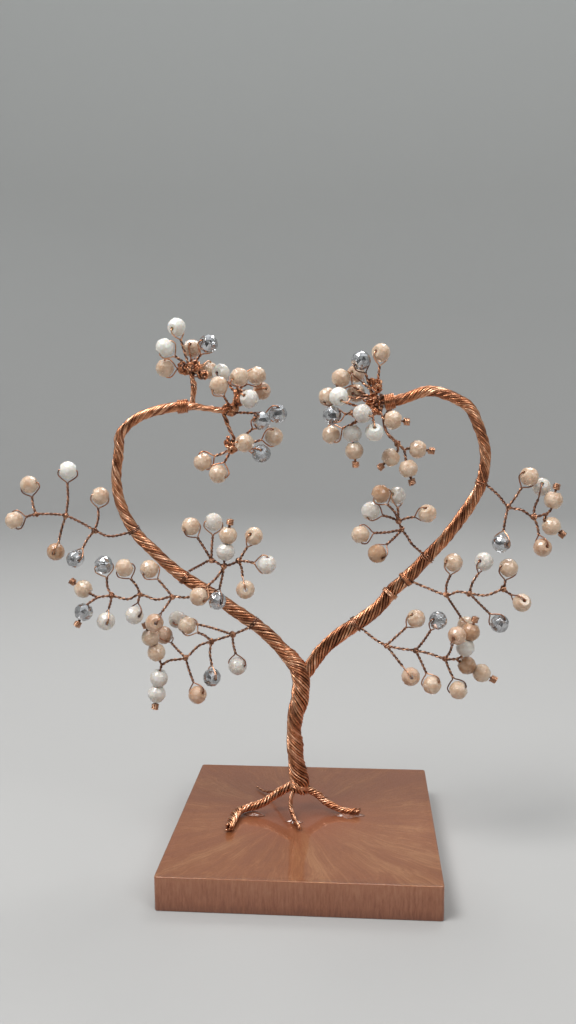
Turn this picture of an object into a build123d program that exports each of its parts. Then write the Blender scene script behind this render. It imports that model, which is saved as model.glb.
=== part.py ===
"""Tree of life: a twisted copper-wire tree with faceted glass beads on a square resin slab.

Units are millimetres.  The origin is the centre of the slab's underside, +Z is up, +X is to
the right and +Y is away from the person who looks at the tree's front.
"""

import os
from math import cos, radians, sin, sqrt, tan

from build123d import *

os.makedirs("parts", exist_ok=True)

# ---------------------------------------------------------------- driving dimensions
slab_side = 80.0
slab_height = 10.0
slab_corner_radius = 1.2
slab_edge_radius = 0.5

wire_diameter = 0.4
twisted_pair_diameter = 2 * wire_diameter
slim_twig_diameter = 1.0   # a twig that is one twisted pair and its bindings

bead_diameter = 6.0
bead_length = 5.0
bead_rim_diameter = 3.4
bead_belt_length = 1.4
bead_hole_diameter = 1.0
bead_facets = 12
bead_neck = 4.0            # from the top of a twisted stem to the centre of the bead it holds
end_clearance = 0.5        # from a bead's end face to the middle of the wire that passes it
skewer_pitch = bead_length + 0.1
coil_reach = 4.1           # from a skewer's last bead to the middle of its end coil

loop_bend_radius = 0.4
coil_radius = 0.9
coil_wire_radius = 0.45
limb_bend_radius = 7.0

tree_depth = 4.0           # the trunk stands this far behind the slab's middle

# ---------------------------------------------------------------- the tree's bundles of wire
# trunk: (height, centre x, diameter)
trunk_sections = [
    (17, -2.8, 6.8), (20, -2.1, 6.2), (23, -2.7, 6.4), (27, -3.3, 5.3), (32, -3.6, 5.6),
    (37, -3.9, 4.8), (42, -3.3, 5.4), (47, -2.0, 6.0), (53, -1.8, 5.8), (58, -1.6, 6.4),
]

# limbs: (diameter, points of that stretch), from the fork to the tip
left_limb_stretches = [
    (4.4, [(-1.5, 4, 56), (-10, 4, 66), (-21, 3, 75), (-31, 2, 82), (-39, 1, 87.5)]),
    (3.8, [(-39, 1, 87.5), (-47.5, 0, 95.5), (-53, 0, 101.5), (-57, 0, 110)]),
    (3.3, [(-57, 0, 110), (-58, 0, 118), (-57, 0, 125.5), (-56.5, 0, 131.5), (-50, 0.5, 136.5),
           (-41, 1, 139), (-35, 1, 139.5)]),
    (2.0, [(-35, 1, 139.5), (-25, 1, 138), (-22, 1, 137.5)]),
]
right_limb_stretches = [
    (4.6, [(-1.5, 4, 57), (7, 4, 65), (19, 4, 74), (23.5, 4, 78), (27, 4, 82.5)]),
    (4.2, [(27, 4, 82.5), (31.5, 4, 86.5), (39, 4, 94.5), (42.5, 3.5, 98.5)]),
    (3.8, [(42.5, 3.5, 98.5), (50, 3, 109), (53.5, 2, 117)]),
    (3.4, [(53.5, 2, 117), (54, 1.5, 126), (50.5, 1, 136.5), (46.5, 1, 140.5), (38, 1, 143.5),
           (30.5, 2, 141.5), (24, 2, 140)]),
]

# the short stub that carries the highest sprig on the left
stub_points = [(-34, 1, 139.9), (-34, 1, 143), (-33.5, 1, 145.5)]
stub_diameter = 1.9

# roots: name, diameter, points from the trunk's foot to the slab
roots = {
    "left": (3.0, [(-4, 4, 19), (-9.5, 3.5, 15.8), (-14, 2, 13.2), (-20.5, 0, 11.7),
                   (-22, -4, 11.6), (-23, -13, 11.5)]),
    "front": (1.7, [(-3.5, 3, 18.5), (-5, 1, 14.5), (-4, -2.5, 11.4), (-1.5, -10, 10.9)]),
    "right": (2.6, [(-1.5, 4, 18.5), (3, 5, 15.5), (7, 4, 12.8), (12, 2.2, 11.4),
                    (17, 1.7, 11.3)]),
    "back": (1.3, [(-4, 5, 18.5), (-9, 10, 14.5), (-14, 15.5, 11), (-18, 20, 10.7)]),
}

# clear resin that holds the roots down: centre on the slab, radius, height
glue_drops = [((-17.5, 0.5), 6.0, 1.5), ((-4, -3.5), 5.0, 1.2), ((11.5, 2.5), 6.5, 1.4)]

# a drop's outline: share of its height, share of its radius
glue_profile = [(0, 1), (0.5, 0.8), (0.85, 0.5), (1, 0.2)]

# binding wires around the bundles: centre, direction of the bundle there, length, diameter
wraps = [
    ((-2.4, 4, 18.6), (0, 0, 1), 2.2, 6.8),
    ((-37, 1, 139.4), (-6, 0, -0.5), 3.6, 4.4),
    ((26.2, 4, 81.5), (3.5, 0, 4.5), 1.6, 5.4),
    ((31, 4, 86), (4.5, 0, 4), 1.6, 5.2),
    ((25.5, 2, 140.4), (6.5, 0, 1.5), 3.4, 5.0),
]

# ---------------------------------------------------------------- sprigs
# twig: points from the limb to the sprig's tip, and the twig's diameter at its root
# knots: which of those points are knots that bead wires leave from
# beads: (colour, knot, bead's centre, turn of the wire's loop about its stem in degrees)
# skewers: (knot, colours of the beads on it, first bead's centre, point that it aims at)
sprigs = {
    "top_left_upper": dict(
        twig=[(-33.5, 1, 145.5), (-34.5, 1, 150.5)], root_diameter=2.2, knots=[1],
        beads=[("white", 1, (-38, -1, 163), 60), ("white", 1, (-41.5, -2, 157), 10),
               ("cream", 1, (-42.5, 2, 151), -15), ("cream", 1, (-34.5, 5, 157), 80),
               ("silver", 1, (-28.5, -1, 158), 40), ("cream", 1, (-30, 8, 150.5), 20)],
        skewers=[]),
    "top_left_inner": dict(
        twig=[(-22, 1, 137.5), (-20.5, 1, 143.5)], root_diameter=2.0, knots=[0, 1],
        beads=[("white", 1, (-25.5, 3, 149.5), 70), ("cream", 0, (-25, -5, 145.5), 30),
               ("cream", 1, (-19, -3, 148), 50), ("cream", 1, (-14.5, 3, 148.5), 15),
               ("clear", 1, (-16, -4, 141.5), 80), ("peach", 1, (-13.5, 7.5, 144), 75),
               ("silver", 0, (-8, 2, 137), 35)],
        skewers=[]),
    "top_left_hanging": dict(
        twig=[(-24.5, 1, 137), (-23, 1, 133), (-21.5, 1, 129.5), (-22, 1, 127)],
        root_diameter=1.5, knots=[3],
        beads=[("silver", 3, (-12.5, -3, 135), 45), ("cream", 3, (-9.5, 4, 130), 20),
               ("cream", 3, (-17.5, -5, 128.5), 70), ("silver", 3, (-13, 0, 125), 60),
               ("cream", 3, (-31, 0, 122.5), 0), ("cream", 3, (-26, -2, 119), 10)],
        skewers=[]),
    "left_upper": dict(
        twig=[(-53, 0, 101), (-60.5, 0, 99.5), (-65, -1, 101.5), (-69.5, -1, 104),
              (-74, -1, 106), (-78.5, -1, 106.5), (-83.5, -1, 106.5)],
        root_diameter=slim_twig_diameter, knots=[2, 4, 6],
        beads=[("cream", 2, (-63.5, 1, 112), 25), ("silver", 2, (-70.5, -4, 93), 50),
               ("white", 4, (-73.5, 1, 120), 20), ("amber", 4, (-78, 0, 94.5), 85),
               ("cream", 6, (-86, 1, 115.5), 5), ("cream", 6, (-90.5, -1, 104.5), 10)],
        skewers=[]),
    "left_middle": dict(
        twig=[(-31, 1, 82.5), (-36, -2.5, 81), (-40.5, -4, 81.5), (-45.5, -4, 80.5),
              (-50.5, -4, 82), (-54.5, -4, 80.5), (-59.5, -4, 81.5), (-64, -4, 81)],
        root_diameter=slim_twig_diameter, knots=[2, 4, 6],
        beads=[("silver", 6, (-62, -3, 91), 30), ("cream", 4, (-55, -5, 90.5), 15),
               ("cream", 2, (-47.5, -4, 90), 35), ("peach", 2, (-45.5, -7.5, 74), 75),
               ("clear", 4, (-52, -6, 76), 40), ("clear", 6, (-61.5, -4, 73.5), 65)],
        skewers=[(7, ["cream"], (-68.5, -3.5, 83.5), (-72.5, -3, 86)),
                 (7, ["silver"], (-67.5, -7, 77), (-69.5, -8, 73))]),
    "left_inner": dict(
        twig=[(-36, 1, 88.5), (-32, -3, 91), (-28, -5, 93), (-24, -6, 91.5), (-19.5, -6, 93)],
        root_diameter=slim_twig_diameter, knots=[2, 3, 4],
        beads=[("cream", 2, (-34, -6, 103.5), 40), ("clear", 2, (-27.5, -3, 104.5), 20),
               ("cream", 4, (-15, -5, 100.5), 60), ("clear", 4, (-11, -6, 92), 15),
               ("cream", 4, (-17.5, -7, 84.5), 80), ("silver", 3, (-26.5, -5, 80.5), 50),
               ("cream", 3, (-31.5, -8.5, 82.5), 30)],
        skewers=[(3, ["clear", "cream"], (-23.5, -6, 95.8), (-22, -6, 105))]),
    "left_lower": dict(
        twig=[(-16.5, 2.5, 71), (-22.5, -1, 69), (-29, -2, 67), (-33, -2, 65.5), (-37, -3, 62),
              (-42, -3, 61), (-44.5, -3, 59.5)],
        root_diameter=slim_twig_diameter, knots=[1, 2, 4],
        beads=[("clear", 1, (-21, -1, 59), 20), ("clear", 1, (-41, 5.5, 72), 70),
               ("cream", 2, (-36.5, -2, 72), 30), ("silver", 2, (-29, -2, 55.5), 55),
               ("peach", 4, (-45, 3, 67.5), 80), ("peach", 4, (-33, -5.5, 51), 25)],
        skewers=[(6, ["clear", "clear"], (-45.5, -3, 55.3), (-47, -3, 46)),
                 (6, ["cream", "cream"], (-46, -3.5, 63.7), (-49, -4, 72.3))]),
    "top_right": dict(
        twig=[(24, 2, 140), (21.5, 2, 141), (20.5, 1, 137.5)], root_diameter=3.2, knots=[1, 2],
        beads=[("cream", 1, (23, 3, 155), 45), ("silver", 1, (17, -2, 152.5), 30),
               ("cream", 1, (15.5, 7.5, 149), 70), ("cream", 1, (11, 1, 147.5), 10),
               ("white", 1, (10.5, -4, 142), 60), ("cream", 2, (7, 4, 142), 35),
               ("cream", 1, (15.5, 4.5, 143), 80), ("silver", 2, (8.5, -2, 136.5), 40),
               ("cream", 2, (8, 4, 130.5), 15), ("clear", 2, (17.5, -5, 137), 65),
               ("white", 2, (21, -4, 131.5), 85)],
        skewers=[(2, ["clear", "cream"], (14.5, 0, 130.9), (15.5, 0, 122)),
                 (1, ["cream"], (26.5, -2, 135), (30.5, -2, 134.5))]),
    "top_right_hanging": dict(
        twig=[(26, 3.2, 138.4), (24, 3.8, 135), (25, 2, 131), (28, 0, 128), (30, 0, 126)],
        root_diameter=1.5, knots=[3],
        beads=[],
        skewers=[(3, ["cream"], (26, 0, 123.8), (23, 0, 121)),
                 (4, ["cream"], (34, 0, 126.2), (38, 0, 125.8)),
                 (4, ["cream"], (31.2, -1.5, 120.5), (32.3, -2, 116.5))]),
    "right_upper": dict(
        twig=[(54, 2, 116), (58, 1, 112.5), (61, 0, 109), (65, 0, 108), (68.5, 0, 106),
              (72.5, 0, 107)],
        root_diameter=slim_twig_diameter, knots=[2, 4],
        beads=[("silver", 2, (59, -1, 98), 50), ("cream", 2, (67, 0, 118), 20),
               ("clear", 4, (71.5, 4.5, 114.5), 75), ("peach", 4, (71, -2, 97), 60)],
        skewers=[(5, ["cream"], (74.2, 0, 111), (75, 0, 115)),
                 (5, ["cream"], (73.8, 0, 103.2), (77, 0, 100.8))]),
    "right_inner": dict(
        twig=[(37.5, 3.5, 93), (33, 1, 97), (31, 0, 100), (29.5, 0, 102), (28.5, 0, 104.5)],
        root_diameter=slim_twig_diameter, knots=[3, 4],
        beads=[("cream", 3, (17, -1, 100.5), 15), ("amber", 3, (22, -3, 95), 40),
               ("clear", 4, (20, 1, 107.5), 30), ("amber", 4, (23, -2, 113), 10),
               ("clear", 4, (28, 3, 112), 55), ("cream", 4, (37, -1, 107), 35)],
        skewers=[]),
    "right_middle": dict(
        twig=[(31, 4, 86), (37, 1, 84), (43, 0, 82), (46.5, 0, 83), (50, 0, 82.5),
              (55, 0, 82), (60, 0, 84)],
        root_diameter=slim_twig_diameter, knots=[2, 4, 6],
        beads=[("cream", 2, (45, 0, 92), 25), ("cream", 2, (50, 6.5, 71), 75),
               ("clear", 4, (54, -1, 92.5), 50), ("silver", 4, (59, -1, 73.5), 30),
               ("cream", 6, (61.5, 0, 90.5), 15), ("cream", 6, (65.5, -1, 80), 60)],
        skewers=[]),
    "right_lower": dict(
        twig=[(16, 4, 71.5), (21, 1, 68), (25, 0, 66), (29.5, 0, 65), (34, 0, 64.5),
              (38.5, 0, 63.5), (43, 0, 62), (46.5, 0, 62)],
        root_diameter=slim_twig_diameter, knots=[2, 4, 6],
        beads=[("cream", 2, (34, 0, 74.5), 30), ("peach", 2, (32.5, -1, 56.5), 80),
               ("silver", 4, (40.5, -2, 74.5), 45), ("cream", 4, (39, -1, 54), 20),
               ("peach", 6, (46, -4.5, 70.5), 65), ("cream", 6, (47, -1, 52.5), 10)],
        skewers=[(7, ["clear", "amber"], (49, 0, 65.7), (51.8, 0, 74.6)),
                 (7, ["amber", "cream"], (49.8, 2, 59.5), (57.5, 2, 55.5))]),
}

# bead glass by node: several tints of one kind of glass share a node
glass_of_tint = {"cream": "cream", "peach": "cream", "amber": "cream",
                 "white": "pale", "clear": "pale", "silver": "silver"}

twig_tip_diameter = 0.9
knot_oversize = 0.7        # a knot stands this much proud of its twig's diameter
elbow_oversize = 0.2       # a plain bend stands this much proud


# ---------------------------------------------------------------- helpers
def bend_radii(points, largest):
    """One radius for each corner of a route, as large as its two runs allow."""
    radii = []
    for before, corner, after in zip(points, points[1:], points[2:]):
        run_in = Vector(corner) - Vector(before)
        run_out = Vector(after) - Vector(corner)
        half_turn = radians(run_in.get_angle(run_out)) / 2
        shorter_run = min(run_in.length, run_out.length)
        radii.append(min(largest, 0.45 * shorter_run / tan(half_turn)))
    return radii


def add_tube(points, diameter):
    """Add a round tube along straight runs joined by tangent arcs to the open part."""
    with BuildLine() as route:
        if len(points) > 2:
            FilletPolyline(*points, radius=bend_radii(points, limb_bend_radius))
        else:
            Line(*points)
    with BuildSketch(Plane(origin=route.line @ 0, z_dir=route.line % 0)) as profile:
        Circle(diameter / 2)
    sweep(profile.sketch, path=route.line)


def add_rod(start, end, diameter):
    """Add a straight round rod from one point to another to the open part."""
    run = Vector(*end) - Vector(*start)
    with BuildSketch(Plane(origin=Vector(*start), z_dir=run)) as profile:
        Circle(diameter / 2)
    extrude(profile.sketch, amount=run.length)


def hole_axis(stem, turn):
    """The direction of a bead's hole: square to its stem, turned about it by so many degrees."""
    flat = stem.cross(Vector(0, 1, 0)).normalized()
    towards_viewer = stem.cross(flat).normalized()
    return flat * cos(radians(turn)) + towards_viewer * sin(radians(turn))


def twig_thickness(sprig, number):
    """The twig's diameter at one of its points: it tapers evenly from root to tip."""
    taper = (twig_tip_diameter - sprig["root_diameter"]) / (len(sprig["twig"]) - 1)
    return sprig["root_diameter"] + taper * number


def ball_diameter(sprig, number):
    """The diameter of the ball at one of a twig's points, which is larger at a knot."""
    oversize = knot_oversize if number in sprig["knots"] else elbow_oversize
    return twig_thickness(sprig, number) + oversize


def ball_plane(sprig, point):
    """The plane a ball is made on: a slim twig's balls lie on their sides, seams clear of it."""
    if sprig["root_diameter"] > slim_twig_diameter:
        return Plane(origin=point)
    run = Vector(*sprig["twig"][-1]) - Vector(*sprig["twig"][0])
    return Plane(origin=point, x_dir=run.cross(Vector(0, 1, 0)), z_dir=(0, 1, 0))


def stem_start(sprig, knot, target):
    """Where a stem leaves the ball of its knot on the way to a target point."""
    knot_point = Vector(*sprig["twig"][knot])
    depth = sqrt((ball_diameter(sprig, knot) / 2) ** 2 - (twisted_pair_diameter / 2) ** 2)
    return knot_point + (target - knot_point).normalized() * depth


def skewer_layout(sprig, skewer):
    """A skewer's start at its knot, its direction, its beads' centres and its coil's centre."""
    knot, tints, first, target = skewer
    along = (Vector(*target) - Vector(*first)).normalized()
    centres = [Vector(*first) + along * skewer_pitch * number for number in range(len(tints))]
    entry = centres[0] - along * (bead_length / 2 + end_clearance)
    return stem_start(sprig, knot, entry), entry, along, centres, centres[-1] + along * coil_reach


def save(part, name):
    """Label a finished piece and write it as its own STEP file."""
    part.label = name
    export_step(part, f"parts/{name}.step")


# ---------------------------------------------------------------- slab
with BuildPart() as base_slab:
    with BuildSketch():
        RectangleRounded(slab_side, slab_side, slab_corner_radius)
    extrude(amount=slab_height)
    fillet(base_slab.faces().sort_by(Axis.Z)[-1].edges(), radius=slab_edge_radius)
save(base_slab.part, "base_slab")

# ---------------------------------------------------------------- trunk, limbs and stub
with BuildPart() as trunk:
    for height, centre_x, diameter in trunk_sections:
        with BuildSketch(Plane.XY.offset(height)):
            with Locations((centre_x, tree_depth)):
                Circle(diameter / 2)
    loft(ruled=True)
save(trunk.part, "trunk")

with BuildPart() as left_limb:
    for diameter, points in left_limb_stretches:
        add_tube(points, diameter)
    add(trunk.part, mode=Mode.SUBTRACT)
save(left_limb.part, "left_limb")

with BuildPart() as right_limb:
    for diameter, points in right_limb_stretches:
        add_tube(points, diameter)
    add(trunk.part, mode=Mode.SUBTRACT)
    add(left_limb.part, mode=Mode.SUBTRACT)
save(right_limb.part, "right_limb")

with BuildPart() as stub_branch:
    add_tube(stub_points, stub_diameter)
    add(left_limb.part, mode=Mode.SUBTRACT)
save(stub_branch.part, "stub_branch")

# ---------------------------------------------------------------- roots and their clear resin
root_parts = []
for side, (diameter, points) in roots.items():
    with BuildPart() as root:
        add_tube(points, diameter)
        add(trunk.part, mode=Mode.SUBTRACT)
        for earlier in root_parts:
            add(earlier, mode=Mode.SUBTRACT)
    root_parts.append(root.part)
    save(root.part, f"root_{side}")

with BuildPart() as root_glue:
    for centre, radius, height in glue_drops:
        for rise, width in glue_profile:
            with BuildSketch(Plane.XY.offset(slab_height + rise * height)):
                with Locations(centre):
                    Circle(width * radius)
        loft(ruled=True)
    for root_part in root_parts:
        add(root_part, mode=Mode.SUBTRACT)
save(root_glue.part, "root_glue")

# ---------------------------------------------------------------- binding wires
with BuildPart() as limb_wraps:
    for centre, direction, length, diameter in wraps:
        half = Vector(*direction).normalized() * (length / 2)
        add_rod(Vector(*centre) - half, Vector(*centre) + half, diameter)
    for bundle in (trunk, left_limb, right_limb, stub_branch):
        add(bundle.part, mode=Mode.SUBTRACT)
    for root_part in root_parts:
        add(root_part, mode=Mode.SUBTRACT)
save(limb_wraps.part, "limb_wraps")

# ---------------------------------------------------------------- one bead and one wire loop
with BuildPart() as bead:
    belt = bead_belt_length / 2
    rim = bead_length / 2
    for height, diameter in ((-rim, bead_rim_diameter), (-belt, bead_diameter),
                             (belt, bead_diameter), (rim, bead_rim_diameter)):
        with BuildSketch(Plane.XY.offset(height)):
            RegularPolygon(diameter / 2, bead_facets)
    loft(ruled=True)
    Hole(bead_hole_diameter / 2)

# the loop lies in its own XY plane: the stem ends at the origin and the bead is up along +Y
loop_side = bead_length / 2 + end_clearance
loop_outline = [(0.28, 0), (0.28, 0.35), (2.0, 1.2), (loop_side, 2.6), (loop_side, bead_neck)]
with BuildPart() as wire_loop:
    with BuildLine() as loop_route:
        FilletPolyline(*loop_outline, *[(-x, y) for x, y in reversed(loop_outline)],
                       radius=loop_bend_radius)
    with BuildSketch(Plane(origin=loop_route.line @ 0, z_dir=loop_route.line % 0)):
        Circle(wire_diameter / 2)
    sweep(path=loop_route.line)

with BuildPart() as end_coil:
    Torus(coil_radius, coil_wire_radius)

# ---------------------------------------------------------------- sprigs
limb_solids = [trunk.part, left_limb.part, right_limb.part, stub_branch.part, limb_wraps.part]
for name, sprig in sprigs.items():
    twig_points = sprig["twig"]
    with BuildPart() as twig:
        for number, point in enumerate(twig_points):
            if number < len(twig_points) - 1:
                add_rod(point, twig_points[number + 1], twig_thickness(sprig, number))
            with Locations(ball_plane(sprig, point)):
                Sphere(ball_diameter(sprig, number) / 2)
        for solid in limb_solids:
            add(solid, mode=Mode.SUBTRACT)

    wires = [twig.part]
    bead_planes = {}
    for tint, knot, centre, turn in sprig["beads"]:
        centre = Vector(*centre)
        knot_point = Vector(*twig_points[knot])
        stem = (centre - knot_point).normalized()
        across = hole_axis(stem, turn)
        stem_end = centre - stem * bead_neck
        bead_planes.setdefault(glass_of_tint[tint], []).append(
            Plane(origin=centre, x_dir=stem, z_dir=across))
        with BuildPart() as stem_pair:
            add_rod(stem_start(sprig, knot, centre), stem_end, twisted_pair_diameter)
        with BuildPart() as bead_loop:
            with Locations(Plane(origin=stem_end, x_dir=across, z_dir=across.cross(stem))):
                add(wire_loop.part)
        wires += [stem_pair.part, bead_loop.part]
    for skewer in sprig["skewers"]:
        start, entry, along, centres, coil = skewer_layout(sprig, skewer)
        for tint, centre in zip(skewer[1], centres):
            bead_planes.setdefault(glass_of_tint[tint], []).append(
                Plane(origin=centre, x_dir=along.cross(Vector(0, 1, 0)), z_dir=along))
        with BuildPart() as skewer_wire:
            add_tube([start, entry, coil - along * (coil_radius + coil_wire_radius)],
                     twisted_pair_diameter)
        with BuildPart() as skewer_coil:
            with Locations(Plane(origin=coil, x_dir=along, z_dir=hole_axis(along, 90))):
                add(end_coil.part)
        wires += [skewer_wire.part, skewer_coil.part]
    save(Compound(children=wires), f"{name}_wires")

    for glass, planes in bead_planes.items():
        with BuildPart() as beads:
            for plane in planes:
                with Locations(plane):
                    add(bead.part)
        save(beads.part, f"{name}_beads_{glass}")
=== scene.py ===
"""Tree of life: twisted copper wire with faceted glass beads on a cast resin slab.

Design lengths are in millimetres, as in the part's own drawing, and MM turns them into the
scene's metres.  The origin is the centre of the slab's underside, +Z is up and the viewer
stands on the -Y side.
"""
import math
import random

import bpy
import numpy as np
from mathutils import Matrix, Vector


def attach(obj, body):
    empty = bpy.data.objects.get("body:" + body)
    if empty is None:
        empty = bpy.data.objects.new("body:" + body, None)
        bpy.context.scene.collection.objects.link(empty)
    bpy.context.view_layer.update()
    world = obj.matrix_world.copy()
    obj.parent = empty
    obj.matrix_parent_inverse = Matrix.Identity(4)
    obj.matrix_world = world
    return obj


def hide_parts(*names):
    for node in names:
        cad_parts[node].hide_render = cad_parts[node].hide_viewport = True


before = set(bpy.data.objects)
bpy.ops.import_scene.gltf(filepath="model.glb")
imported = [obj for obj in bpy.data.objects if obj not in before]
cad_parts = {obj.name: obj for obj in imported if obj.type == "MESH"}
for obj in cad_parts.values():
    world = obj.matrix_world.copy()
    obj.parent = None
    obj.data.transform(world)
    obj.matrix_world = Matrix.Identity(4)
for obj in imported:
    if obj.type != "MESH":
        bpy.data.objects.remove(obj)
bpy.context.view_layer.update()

MM = 0.001
BODY = "root"

# ------- wire and bead sizes
# diameters of wires and strands
WIRE = 0.42
PAIR_WIRE = 0.46
BINDING_WIRE = 0.5
TANGLE_WIRE = 0.54
LIMB_STRAND = 0.68
ROOT_STRAND = 0.64
THIN_ROOT_STRAND = 0.42
STUB_STRAND = 0.45
TWIG_STRAND = 0.46
WIRE_SIDES = 6

# length of one full turn of the strands, where a rope is at its thickest
TRUNK_PITCH = 19.0
LIMB_PITCH = 20.0
STUB_PITCH = 8.0
ROOT_PITCH_PER_DIAMETER = 2.5
THICK_TWIG_PITCH = 6.5
TWIG_PITCH = 2.6
STEM_PITCH = 2.2

STRAND_SPACING = 1.25       # strands lie this many diameters apart
STRAND_PLAY = 0.16          # how far a strand strays from its place in the rope
ROOT_SPLAY = 0.15           # share by which a root's cut end opens
THIN_ROOT = 2.0             # a root thinner than this is made of the thin strands
SLIM_TWIG = 1.0             # diameter of a twig that is one twisted pair
TIP_DIAMETER = 0.9          # of a twig, at its far end
KNOT_OVERSIZE = 0.7         # a knot is this much thicker than its twig
KNOT_TURNS, SLIM_KNOT_TURNS = 9, 5
WRAP_INSET = 0.2            # from a binding's outside to the middle of its wire

BEAD_RADIUS = 2.96
BEAD_HALF_LENGTH = 2.45
BEAD_SIDES = 12
OPAL_EDGE = 0.1             # how far a facet's edges are rounded
CRYSTAL_EDGE = 0.03
SHARP_EDGE = 12             # degrees from which an edge counts as a facet's
FREE_STEM = 6.0             # a stem this long bows freely
BEAD_NECK = 4.0             # from the end of a twisted stem to the centre of its bead
END_CLEARANCE = 0.5         # from a bead's end to where its skewer's wires close up
SKEWER_PITCH = 5.1          # from one bead to the next on a skewer
COIL_REACH = 4.1            # from a skewer's last bead to its end coil
COIL_RADIUS = 0.95

SLAB_HALF_SIDE = 40.0
SLAB_HEIGHT = 10.0
TREE_DEPTH = 4.0            # the trunk stands this far behind the slab's middle

# ------- the tree's bundles of wire
# trunk: (height, centre x, diameter)
TRUNK = [
    (17, -2.8, 6.8), (20, -2.1, 6.2), (23, -2.7, 6.4), (27, -3.3, 5.3), (32, -3.6, 5.6),
    (37, -3.9, 4.8), (42, -3.3, 5.4), (47, -2.0, 6.0), (53, -1.6, 5.9), (57, -2.4, 5.7),
    (61, -5.0, 4.7), (64.5, -8.8, 3.4),
]

# limbs: (point, diameter there), from the fork to the tip
LEFT_LIMB = [
    ((-1.5, 4, 55), 4.6), ((-10, 4, 66), 4.4), ((-21, 3, 75), 4.3), ((-31, 2, 82), 4.3),
    ((-39, 1, 87.5), 4.0), ((-47.5, 0, 95.5), 3.8), ((-53, 0, 101.5), 3.7),
    ((-57, 0, 110), 3.4), ((-58, 0, 118), 3.2), ((-57, 0, 125.5), 3.3),
    ((-56, 0, 131.5), 3.3), ((-50, 0.5, 136.5), 3.0), ((-41, 1, 139), 3.3),
    ((-35, 1, 139.5), 2.8), ((-31, 1, 139), 2.0), ((-25, 1, 138), 2.0), ((-22, 1, 137.5), 2.0),
]
RIGHT_LIMB = [
    ((-0.5, 5.2, 55), 4.6), ((7, 4.4, 65), 4.5), ((19, 4, 74), 4.7), ((23.5, 4, 78), 4.3),
    ((27, 4, 82.5), 4.3), ((31.5, 4, 86.5), 4.3), ((39, 4, 94.5), 4.0),
    ((42.5, 3.5, 98.5), 3.8), ((50, 3, 109), 3.8), ((53.5, 2, 117), 3.5),
    ((54, 1.5, 126), 3.4), ((50.5, 1, 136.5), 3.5), ((46.5, 1, 140.5), 3.5),
    ((38, 1, 143.5), 3.3), ((30.5, 2, 141.5), 3.4), ((24, 2, 140), 3.4),
]
STUB = [((-35, 1, 138.6), 2.0), ((-34, 1, 141), 1.9), ((-33.5, 1, 145.5), 1.9)]

# roots: name: (point, diameter there), from the trunk's foot outwards
ROOTS = {
    "left": [((-4, 4, 19), 3.2), ((-9.5, 3.5, 15.8), 3.0), ((-14, 2, 13.2), 2.8),
             ((-20.5, 0, 11.7), 2.8), ((-22, -4, 11.7), 3.1), ((-23, -12.6, 11.5), 3.0)],
    "front": [((-3.5, 3, 18.5), 1.7), ((-5, 1, 14.5), 1.7), ((-4, -2.5, 11.4), 1.7),
              ((-1.5, -10, 10.9), 1.3)],
    "right": [((-1.5, 4, 18.5), 2.9), ((3, 5, 15.5), 2.7), ((7, 4, 12.8), 2.5),
              ((12, 2.2, 11.4), 2.3), ((17, 1.7, 11.3), 2.2)],
    "back": [((-4, 5, 18.5), 1.2), ((-9, 10, 14.5), 1.1), ((-14, 15.5, 11), 0.9),
             ((-18, 20, 10.6), 0.7)],
}

# drops of resin at the roots: centre, radius and height
GLUE_DROPS = [((-16.5, 1.0), 4.6, 0.9), ((-3.6, -3.5), 3.2, 0.7), ((13.5, 1.9), 5.6, 1.0)]

# binding wires: centre, direction of the bundle there, length, diameter, turns
WRAPS = [
    ((-2.4, 4, 18.6), (0.25, 0.1, 1), 1.6, 6.4, 3),
    ((-37, 1, 139.4), (-6, 0, -0.5), 3.6, 4.2, 6),
    ((26.2, 4, 81.5), (3.5, 0, 4.5), 1.6, 5.2, 3),
    ((31, 4, 86), (4.5, 0, 4), 1.6, 5.0, 3),
    ((25.5, 2, 140.4), (6.5, 0, 1.5), 3.4, 4.8, 6),
]

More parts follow.
